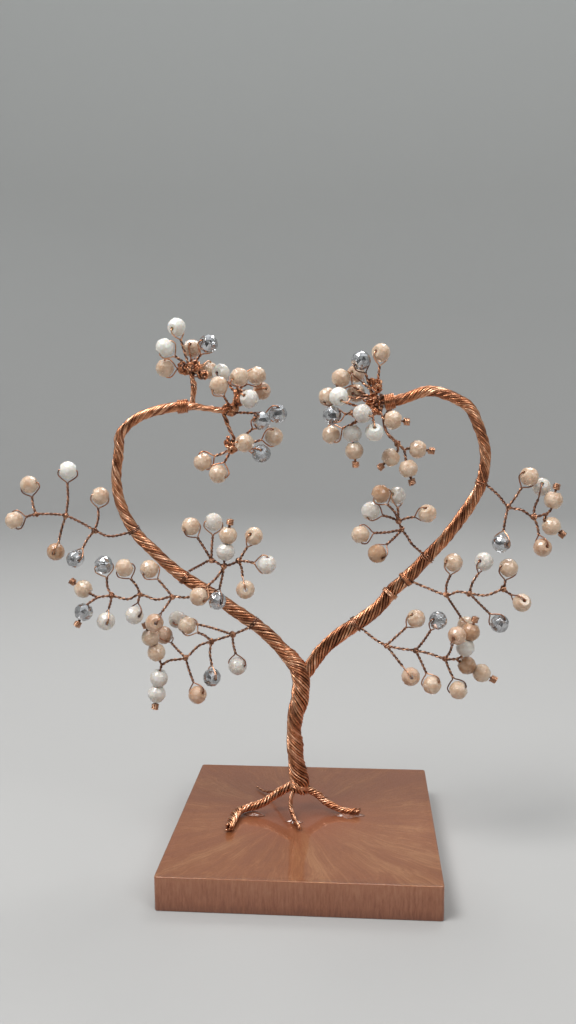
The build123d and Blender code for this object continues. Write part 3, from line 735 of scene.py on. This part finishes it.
# the thin wires of the open sprigs are duller; the crowded sprigs mix both
FINE_COPPERS = [
    copper_material("fine_copper_plain", (0.50, 0.27, 0.17), (0.34, 0.16, 0.095),
                    (0.17, 0.08, 0.05)),
    copper_material("fine_copper_bright", (0.70, 0.42, 0.28), (0.52, 0.28, 0.17),
                    (0.30, 0.14, 0.08)),
    copper_material("fine_copper_tarnish_and_shade", (0.30, 0.16, 0.11), (0.19, 0.10, 0.07),
                    (0.10, 0.055, 0.04)),
    COPPERS[PAINTED_SHADE],
]
CROWDED_COPPERS = [COPPERS[PLAIN], COPPERS[BRIGHT], FINE_COPPERS[TARNISH_AND_SHADE], COPPERS[PAINTED_SHADE]]
BEAD_MATERIALS = {
    "cream": glass_bead_material("cream_opal", (0.76, 0.60, 0.46), (0.60, 0.41, 0.28), 0.25),
    "peach": glass_bead_material("peach_opal", (0.70, 0.50, 0.37), (0.53, 0.33, 0.21), 0.25),
    "amber": glass_bead_material("amber_opal", (0.60, 0.39, 0.25), (0.43, 0.24, 0.13), 0.3),
    "white": glass_bead_material("white_opal", (0.80, 0.79, 0.74), (0.74, 0.70, 0.63), 0.08),
    "clear": glass_bead_material("clear_opal", (0.80, 0.76, 0.71), (0.70, 0.63, 0.56), 0.3),
    "silver": crystal_material(),
}

# ------- trunk, limbs and roots
def rope_piece(name, node, rows, strand, pitch, seed, splay=0.0):
    """A rope of strands that stands for one of the part's solid bundles."""
    stock = Stock()
    points, diameters = zip(*rows)
    bundle(stock, points, diameters, strand, pitch, random.Random(seed), splay=splay)
    piece = stock.piece(name, COPPERS)
    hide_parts(node)


trunk_rows = [((x, TREE_DEPTH, z), diameter) for z, x, diameter in TRUNK]
rope_piece("trunk_strands", "trunk", trunk_rows, LIMB_STRAND, TRUNK_PITCH, 1)
rope_piece("left_limb_strands", "left_limb", LEFT_LIMB, LIMB_STRAND, LIMB_PITCH, 2)
rope_piece("right_limb_strands", "right_limb", RIGHT_LIMB, LIMB_STRAND, LIMB_PITCH, 3)
rope_piece("stub_strands", "stub_branch", STUB, STUB_STRAND, STUB_PITCH, 4)
for seed, (side, rows) in enumerate(ROOTS.items(), 10):
    diameter = rows[0][1]
    rope_piece(f"root_{side}_strands", f"root_{side}", rows,
               THIN_ROOT_STRAND if diameter < THIN_ROOT else ROOT_STRAND,
               ROOT_PITCH_PER_DIAMETER * diameter, seed, splay=ROOT_SPLAY)

# ------- binding wires
wrap_rng = random.Random(30)
wrap_stock = Stock()
for centre, direction, length, diameter, turns in WRAPS:
    helix(wrap_stock, centre, direction, diameter / 2 - WRAP_INSET, turns,
          length - 2 * WRAP_INSET, wrap_rng, BINDING_WIRE, wander=0.12,
          shade=strand_shade(wrap_rng))
wrap_piece = wrap_stock.piece("binding_wires", COPPERS)
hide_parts("limb_wraps")


# ------- beads
def bead_mesh(stock, centre, axis, rng):
    """Add one faceted rondelle with its hole along the axis."""
    axis = unit(axis)
    side = unit(np.cross(axis, vec(0.2, 0.3, 1)))
    other = np.cross(axis, side)
    spin = rng.uniform(0, 2 * math.pi / BEAD_SIDES)
    size = rng.uniform(0.965, 1.0)
    vertices = []
    for height, reach, shift in BEAD_PROFILE:
        for number in range(BEAD_SIDES):
            angle = spin + 2 * math.pi * (number + shift) / BEAD_SIDES
            vertices.append(centre + axis * height * BEAD_HALF_LENGTH * size
                            + BEAD_RADIUS * size * reach
                            * (side * math.cos(angle) + other * math.sin(angle)))
    faces = []
    # where a ring is turned half a facet against the next, the facets between are triangles
    shifts = [shift for _, _, shift in BEAD_PROFILE]
    for a, b, c, d in wall_faces(len(BEAD_PROFILE), BEAD_SIDES):
        low, high = shifts[a // BEAD_SIDES], shifts[d // BEAD_SIDES]
        if low == high:
            faces.append((a, b, c, d))
        elif high > low:
            faces += [(a, b, d), (b, c, d)]
        else:
            faces += [(a, b, c), (a, c, d)]
    last = (len(BEAD_PROFILE) - 1) * BEAD_SIDES
    for number in range(BEAD_SIDES):
        after = (number + 1) % BEAD_SIDES
        faces.append((last + number, last + after, after, number))
    stock.add(vertices, faces)


def soften_edges(piece, width):
    """Round a faceted piece's edges a little so that they catch the light."""
    modifier = piece.modifiers.new("softened_edges", "BEVEL")
    modifier.width = width * MM
    modifier.segments = 2
    modifier.limit_method = "ANGLE"
    modifier.angle_limit = math.radians(SHARP_EDGE)


# ------- sprigs
def bind_to_limb(wires, point, rng):
    """Add the turns with which a twig's wire is bound round its limb."""
    nearest = None
    for rows in (LEFT_LIMB, RIGHT_LIMB):
        route, width, _ = smooth_route([row[0] for row in rows], 0.5, [row[1] for row in rows])
        gaps = np.linalg.norm(route - vec(point), axis=1)
        number = int(np.clip(gaps.argmin(), 1, len(route) - 2))
        if nearest is None or gaps[number] < nearest[0]:
            nearest = (gaps[number], route[number], route[number + 1] - route[number - 1],
                       width[number])
    gap, centre, along, width = nearest
    if gap < width:     # a sprig on the stub has no limb beside it
        helix(wires, centre, along, width / 2 + 0.08, rng.uniform(1.6, 2.8),
              rng.uniform(1.0, 1.8), rng, wander=0.08, shade=strand_shade(rng))


def knot_diameter(sprig, number):
    """The diameter of the knot at one of a twig's points."""
    root = sprig.get("root_width", SLIM_TWIG)
    taper = (TIP_DIAMETER - root) / (len(sprig["twig"]) - 1)
    return root + taper * number + KNOT_OVERSIZE


def loop_route(stem_end, stem, across, rng):
    """The single wire that leaves the stem, goes through the bead's hole and comes back."""
    line = []
    for side in (1, -1):
        wide = BEAD_HALF_LENGTH + rng.uniform(0.25, 0.5)
        # (across, along the stem), from the stem's end to the middle of the bead's hole
        outline = [(0.2, -0.1), (0.35, 0.3), (1.2, 0.85), (2.05, 1.5), (wide, 2.4),
                   (wide, 3.5), (0.85 * wide, BEAD_NECK), (0, BEAD_NECK)]
        points = [stem_end + across * (side * x) + stem * y for x, y in outline]
        line = points if side == 1 else line + points[-2::-1]
    return line


def bead_on_loop(wires, tints, sprig, row, rng):
    """One bead on its own twisted stem."""
    tint, knot, centre, turn = row
    centre = vec(centre)
    knot_point = vec(sprig["twig"][knot])
    stem = unit(centre - knot_point)
    across = hole_axis(stem, turn)
    stem_end = centre - stem * BEAD_NECK
    # a stem bows a little, and a short one less
    bow = np.cross(stem, across) * rng.uniform(-0.5, 0.5) + across * rng.uniform(-0.5, 0.5)
    bow *= min(np.linalg.norm(stem_end - knot_point) / FREE_STEM, 1)
    middle = (knot_point + stem_end) / 2 + bow
    twisted_pair(wires, [knot_point, middle, stem_end], rng, STEM_PITCH * rng.uniform(0.9, 1.1))
    route, _, _ = smooth_route(loop_route(stem_end, stem, across, rng), 0.3)
    wires.tube(route, WIRE / 2, shade=strand_shade(rng))
    bead_mesh(tints.setdefault(tint, Stock()), centre, across, rng)


def beads_on_skewer(wires, tints, sprig, row, rng):
    """One or two beads on a twisted pair that ends in a small coil."""
    knot, colours, first, target = row
    along = unit(vec(target) - vec(first))
    centres = [vec(first) + along * SKEWER_PITCH * number for number in range(len(colours))]
    entry = centres[0] - along * (BEAD_HALF_LENGTH + END_CLEARANCE)
    coil = centres[-1] + along * COIL_REACH
    twisted_pair(wires, [vec(sprig["twig"][knot]), entry], rng, STEM_PITCH)
    twisted_pair(wires, [entry, coil + along * COIL_RADIUS], rng, STEM_PITCH)
    helix(wires, coil, along, COIL_RADIUS, 3.6, 1.7, rng, shade=BRIGHT)
    helix(wires, coil, along, 0.55 * COIL_RADIUS, 2.5, 1.4, rng)
    for tint, centre in zip(colours, centres):
        bead_mesh(tints.setdefault(tint, Stock()), centre, along, rng)


for seed, (name, sprig) in enumerate(SPRIGS.items(), 50):
    rng = random.Random(seed)
    wires = Stock()
    tints = {}
    twig = sprig["twig"]
    slim = "root_width" not in sprig
    if slim:
        twisted_pair(wires, twig, rng, TWIG_PITCH)
    else:
        widths = np.linspace(sprig["root_width"], TIP_DIAMETER, len(twig))
        bundle(wires, twig, widths, TWIG_STRAND, THICK_TWIG_PITCH, rng, step=0.3, sides=5)
    bind_to_limb(wires, twig[0], rng)
    for knot in sprig["knots"]:
        half = knot_diameter(sprig, knot) / 2
        turns = SLIM_KNOT_TURNS if slim else KNOT_TURNS
        nest(wires, twig[knot], (half, half, half), turns, rng)
    for centre, reach, wraps in TANGLES.get(name, []):
        nest(wires, centre, reach, wraps, rng, TANGLE_WIRE)
    for row in sprig.get("beads", []):
        bead_on_loop(wires, tints, sprig, row, rng)
    for row in sprig.get("skewers", []):
        beads_on_skewer(wires, tints, sprig, row, rng)
    wire_piece = wires.piece(f"{name}_wire_twists",
                             CROWDED_COPPERS if name in TANGLES else FINE_COPPERS)
    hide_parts(f"{name}_wires")
    for tint, beads in tints.items():
        glass = GLASS_OF_TINT[tint]
        bead_piece = beads.piece(f"{name}_{tint}_beads", [BEAD_MATERIALS[tint]], smooth=False)
        soften_edges(bead_piece, CRYSTAL_EDGE if tint == "silver" else OPAL_EDGE)
        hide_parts(f"{name}_beads_{glass}")

# ------- slab
SLAB_CORNER = 0.9
SIDE_POINTS, CORNER_POINTS = 40, 6
TOP_INSET, TOP_CORNER, TOP_RINGS = 1.3, 0.3, 26
# the side, from the underside's edge up and over the rim: (inset, height)
SLAB_SIDE = [(0.3, 0.0), (0.08, 0.06), (0.0, 0.25), (0.0, 3.0), (0.0, 6.5), (0.0, 9.7),
             (0.05, 9.9), (0.2, 9.98), (0.5, 9.99), (0.9, 9.93)]


def slab_outline(half, corner):
    """A square outline with rounded corners, anticlockwise."""
    points = []
    for quarter in range(4):
        turn = math.radians(90 * quarter)
        middle = turn + math.radians(45)
        centre_x = math.copysign(half - corner, math.cos(middle))
        centre_y = math.copysign(half - corner, math.sin(middle))
        for number in range(CORNER_POINTS + 1):
            angle = turn + math.radians(90 * number / CORNER_POINTS)
            points.append((centre_x + corner * math.cos(angle),
                           centre_y + corner * math.sin(angle)))
        start_x, start_y = points[-1]
        for number in range(1, SIDE_POINTS):
            step = 2 * (half - corner) * number / SIDE_POINTS
            points.append((start_x - step * math.cos(turn), start_y - step * math.sin(turn)))
    return points


def slab_top(x, y):
    """The top's height, a little below the rim that the mould leaves, with very slow waves."""
    return (SLAB_HEIGHT - 0.12 + 0.035 * math.sin(0.13 * x + 0.6) * math.cos(0.11 * y - 0.4)
            + 0.03 * math.sin(0.21 * y + 0.05 * x))


slab_rings = [[(x, y, height) for x, y in
               slab_outline(SLAB_HALF_SIDE - inset, max(SLAB_CORNER - inset, 0.2))]
              for inset, height in SLAB_SIDE]
top_outline = slab_outline(SLAB_HALF_SIDE - TOP_INSET, TOP_CORNER)
for share in np.linspace(1, 0, TOP_RINGS, endpoint=False):
    slab_rings.append([(x * share, y * share, slab_top(x * share, y * share))
                       for x, y in top_outline])
ring_size = len(top_outline)
slab_faces = [list(range(ring_size))[::-1]]
slab_faces += wall_faces(len(slab_rings), ring_size)
slab_faces.append([(len(slab_rings) - 1) * ring_size + number for number in range(ring_size)])
slab_stock = Stock()
slab_stock.add([point for ring in slab_rings for point in ring], slab_faces)
slab_piece = slab_stock.piece("resin_slab", [slab_material()])
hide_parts("base_slab")

# ------- resin drops at the roots
DROP_SIDES, DROP_RINGS, DROP_LOBES = 40, 8, 8
DROP_SEAT = SLAB_HEIGHT - 0.1


def glue_drop(stock, centre, radius, height, rng):
    """Add one shallow drop, half as deep as wide, with an edge of uneven lobes."""
    x, y = centre
    lobes = [rng.uniform(0.55, 1.0) for _ in range(DROP_LOBES)]
    vertices = [(x, y, DROP_SEAT + height)]
    for row in range(1, DROP_RINGS + 1):
        share = row / DROP_RINGS
        for number in range(DROP_SIDES):
            angle = 2 * math.pi * number / DROP_SIDES
            lobe, past = divmod(DROP_LOBES * number / DROP_SIDES, 1)
            blend = 0.5 - 0.5 * math.cos(math.pi * past)
            here, following = lobes[int(lobe)], lobes[(int(lobe) + 1) % DROP_LOBES]
            reach = radius * share * (here * (1 - blend) + following * blend)
            vertices.append((x + reach * math.cos(angle), y + 0.5 * reach * math.sin(angle),
                             DROP_SEAT + height * (1 - share ** 2) ** 1.3))
    faces = [(0, 1 + number, 1 + (number + 1) % DROP_SIDES) for number in range(DROP_SIDES)]
    faces += [(1 + a, 1 + d, 1 + c, 1 + b) for a, b, c, d in wall_faces(DROP_RINGS, DROP_SIDES)]
    faces.append([1 + (DROP_RINGS - 1) * DROP_SIDES + number
                  for number in range(DROP_SIDES)][::-1])
    stock.add(vertices, faces)


glue_rng = random.Random(90)
glue_stock = Stock()
for centre, radius, height in GLUE_DROPS:
    glue_drop(glue_stock, centre, radius, height, glue_rng)
glue_piece = glue_stock.piece("clear_root_glue", [glue_material()])
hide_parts("root_glue")

# ------- studio, in metres
SWEEP_FLOOR, SWEEP_BEND, SWEEP_HEIGHT, SWEEP_SIDES = 0.9, 0.5, 1.5, 96
FLAG_REACH, FLAG_HEIGHT, FLAG_HALF_ANGLE, FLAG_STEP = 0.6, 0.42, 50, 5
TREE_MIDDLE = (0, 0, 0.09)


def studio_object(name, vertices, faces, material, smooth):
    """A mesh object for the studio, outside the part."""
    mesh = bpy.data.meshes.new(name)
    mesh.from_pydata(vertices, [], faces)
    mesh.polygons.foreach_set("use_smooth", [smooth] * len(faces))
    mesh.materials.append(material)
    obj = bpy.data.objects.new(name, mesh)
    bpy.context.collection.objects.link(obj)
    return obj


# the floor bends up into a round wall, so that no view has a horizon
sweep_profile = [(SWEEP_FLOOR * share, 0.0) for share in (0, 0.25, 0.5, 0.75)]
sweep_profile += [(SWEEP_FLOOR + SWEEP_BEND * math.sin(angle), SWEEP_BEND * (1 - math.cos(angle)))
                  for angle in np.linspace(0, math.pi / 2, 17)]
sweep_profile.append((SWEEP_FLOOR + SWEEP_BEND, SWEEP_HEIGHT))
sweep_vertices = []
for reach, height in sweep_profile:
    for number in range(SWEEP_SIDES):
        angle = 2 * math.pi * number / SWEEP_SIDES
        sweep_vertices.append((reach * math.cos(angle), reach * math.sin(angle), height))
sweep = studio_object("studio_sweep", sweep_vertices, wall_faces(len(sweep_profile), SWEEP_SIDES),
                      floor_material(), smooth=True)

# a dark card round the front, seen only in the reflections of metal and glass
flag_vertices = []
for azimuth in range(-90 - FLAG_HALF_ANGLE, -90 + FLAG_HALF_ANGLE + 1, FLAG_STEP):
    for height in (0.001, FLAG_HEIGHT):
        flag_vertices.append((FLAG_REACH * math.cos(math.radians(azimuth)),
                              FLAG_REACH * math.sin(math.radians(azimuth)), height))
flag_faces = [(number, number + 2, number + 3, number + 1)
              for number in range(0, len(flag_vertices) - 2, 2)]
flag = studio_object("studio_flag", flag_vertices, flag_faces, flag_material(), smooth=False)
flag.visible_camera = flag.visible_diffuse = flag.visible_shadow = False

world = bpy.data.worlds.new("studio_world")
world.use_nodes = True
background = world.node_tree.nodes["Background"]
background.inputs["Color"].default_value = (0.93, 0.97, 1.0, 1)
background.inputs["Strength"].default_value = 1.0
bpy.context.scene.world = world


def soft_light(name, place, size, power):
    """A square soft box that shines from a place at the tree's middle."""
    data = bpy.data.lights.new(name, "AREA")
    data.size = size
    data.energy = power
    light = bpy.data.objects.new(name, data)
    light.location = place
    towards = Vector(TREE_MIDDLE) - Vector(place)
    light.rotation_euler = towards.to_track_quat("-Z", "Y").to_euler()
    bpy.context.collection.objects.link(light)


soft_light("key_light", (-0.35, -0.25, 0.85), 0.35, 7.0)
soft_light("fill_light", (0.6, -0.6, 0.75), 0.4, 3.0)
soft_light("back_light", (0.15, 0.45, 0.85), 0.35, 3.0)

# ------- camera
CAMERA_PLACE = (17.1, -276.75, 140.5)
YAW, PITCH, ROLL = (math.radians(angle) for angle in (4.574, 6.834, -0.40))
SENSOR_WIDTH, LENS = 36, 32.25

forward = Vector((-math.sin(YAW) * math.cos(PITCH), math.cos(YAW) * math.cos(PITCH),
                  -math.sin(PITCH)))
level_right = Vector((math.cos(YAW), math.sin(YAW), 0))
level_up = level_right.cross(forward)
right = level_right * math.cos(ROLL) + level_up * math.sin(ROLL)
up = level_up * math.cos(ROLL) - level_right * math.sin(ROLL)
camera_data = bpy.data.cameras.new("camera")
camera_data.sensor_width = SENSOR_WIDTH
camera_data.lens = LENS
camera_data.clip_start = 0.01
camera = bpy.data.objects.new("camera", camera_data)
camera.matrix_world = Matrix((*((right[k], up[k], -forward[k], CAMERA_PLACE[k] * MM)
                                for k in range(3)), (0, 0, 0, 1)))
bpy.context.collection.objects.link(camera)
bpy.context.scene.camera = camera
bpy.context.scene.view_settings.view_transform = "Standard"
